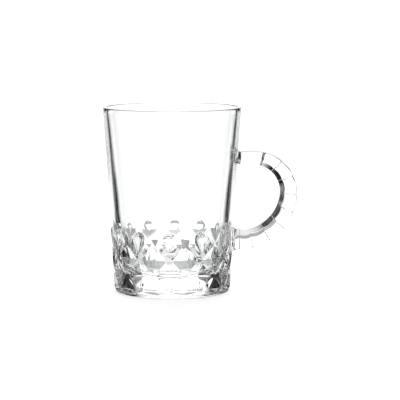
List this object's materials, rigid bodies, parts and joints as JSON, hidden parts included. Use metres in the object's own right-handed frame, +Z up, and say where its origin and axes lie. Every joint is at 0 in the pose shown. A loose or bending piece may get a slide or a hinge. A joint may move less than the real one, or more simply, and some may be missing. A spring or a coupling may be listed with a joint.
{
  "type": "glass mug",
  "caption": "Clear glass mug with a tapered wall, a band of sunk diamonds and raised drops around its thick base, and a notched D-shaped side handle.",
  "frame": {"origin": "centre of the flat base, on the bowl's axis, at the table", "axes": "+Z up along the bowl's axis, +X towards the handle, +Y across the handle's plane"},
  "size_m": [0.1048, 0.0748, 0.1],
  "materials": {
    "clear_glass": "fire-polished pressed soda-lime glass",
    "weld_glass": "hot-fused soda-lime glass"
  },
  "bodies": {
    "root": {"bowl": "clear_glass", "handle": "clear_glass", "upper_weld_pad": "weld_glass", "lower_weld_pad": "weld_glass"}
  },
  "joints": []
}
